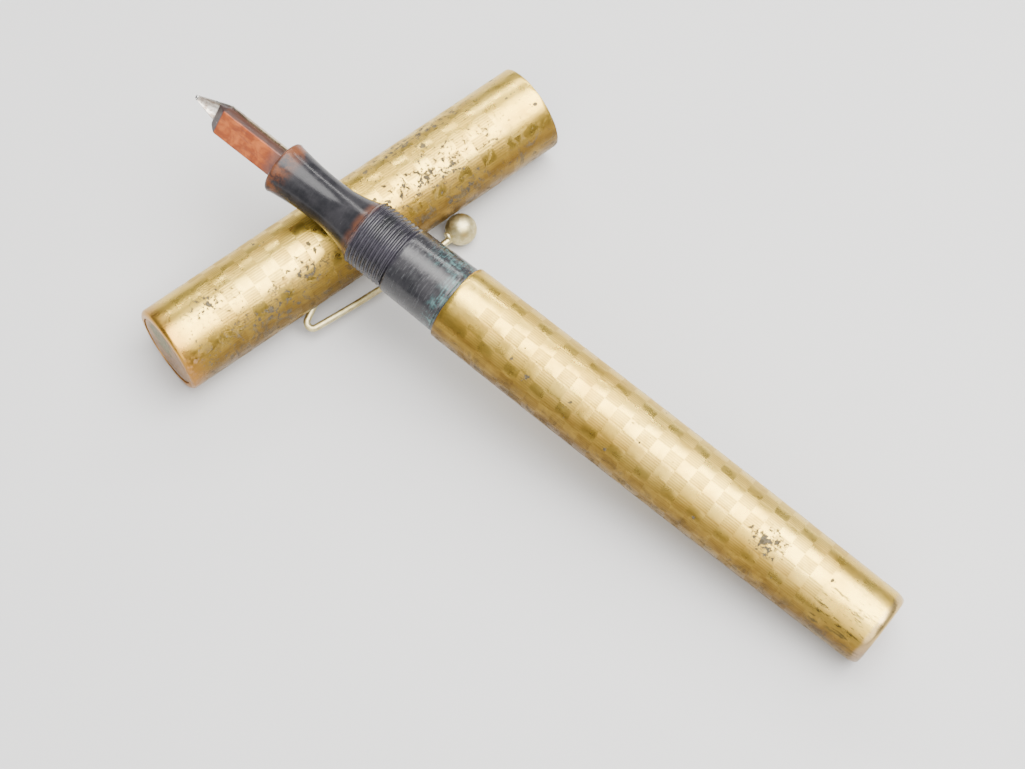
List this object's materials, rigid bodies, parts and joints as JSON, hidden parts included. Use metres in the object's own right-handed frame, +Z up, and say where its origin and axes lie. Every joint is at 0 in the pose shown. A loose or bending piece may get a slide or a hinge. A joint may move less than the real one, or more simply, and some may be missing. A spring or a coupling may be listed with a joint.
{
  "type": "fountain pen",
  "caption": "Slim metal-covered lever-filling fountain pen with chequered engine turning, resting across its screw cap, which has a wire clip with a ball end.",
  "frame": {"origin": "middle of the footprint, on the surface the cap and barrel end rest on", "axes": "+X from the nib end towards the barrel end, +Y along the cap from its closed end to its mouth, +Z up"},
  "size_m": [0.1138, 0.0624, 0.0211],
  "materials": {
    "gold_cover": "engine-turned, worn",
    "bronze": "tarnished",
    "clip_metal": "worn satin",
    "hard_rubber": "oxidised hard rubber",
    "feed_rubber": "stained hard rubber",
    "sac_rubber": "soft",
    "nib_metal": "worn, ink-stained",
    "tip_metal": "ground",
    "steel": "spring steel"
  },
  "bodies": {
    "cap": {"cap_shell": "gold_cover", "cap_crown": "bronze", "cap_liner": "hard_rubber", "inner_cap": "hard_rubber", "clip_anchor": "bronze"},
    "clip": {"clip_wire": "clip_metal", "clip_ball": "clip_metal"},
    "pen": {"barrel_shell": "gold_cover", "barrel_end_disc": "bronze", "barrel_liner": "hard_rubber", "lever_box": "bronze", "lever_pin": "steel", "bar_spring": "steel", "ink_sac": "sac_rubber", "grip_section": "hard_rubber", "feed": "feed_rubber", "nib": "nib_metal", "nib_tip": "tip_metal"},
    "lever_arm": {"lever": "gold_cover"},
    "bar": {"pressure_bar": "steel"}
  },
  "joints": [
    {"name": "pen_lift", "type": "slide", "parent": "cap", "child": "pen", "axis": [0, 0, 1], "range_m": [0, 0.06]},
    {"name": "clip_flex", "type": "hinge", "parent": "cap", "child": "clip", "pos_m": [-0.02787, -0.01117, 0.00341], "axis": [-0.4736, 0, -0.8807], "range_deg": [0, 4], "stiffness_Nm_per_rad": 0.6},
    {"name": "lever_swing", "type": "hinge", "parent": "pen", "child": "lever_arm", "pos_m": [0.02837, 0.01679, 0.0077], "axis": [-0.0726, -0.1966, -0.9778], "range_deg": [0, 80]},
    {"name": "bar_press", "type": "slide", "parent": "pen", "child": "bar", "axis": [0.255, -0.9514, 0.1724], "range_m": [0, 0.0027], "deforming": ["ink_sac", "bar_spring"]}
  ],
  "couplings": [
    {"joint": "bar_press", "follows": "lever_swing", "m_per_rad": 0.0019}
  ]
}
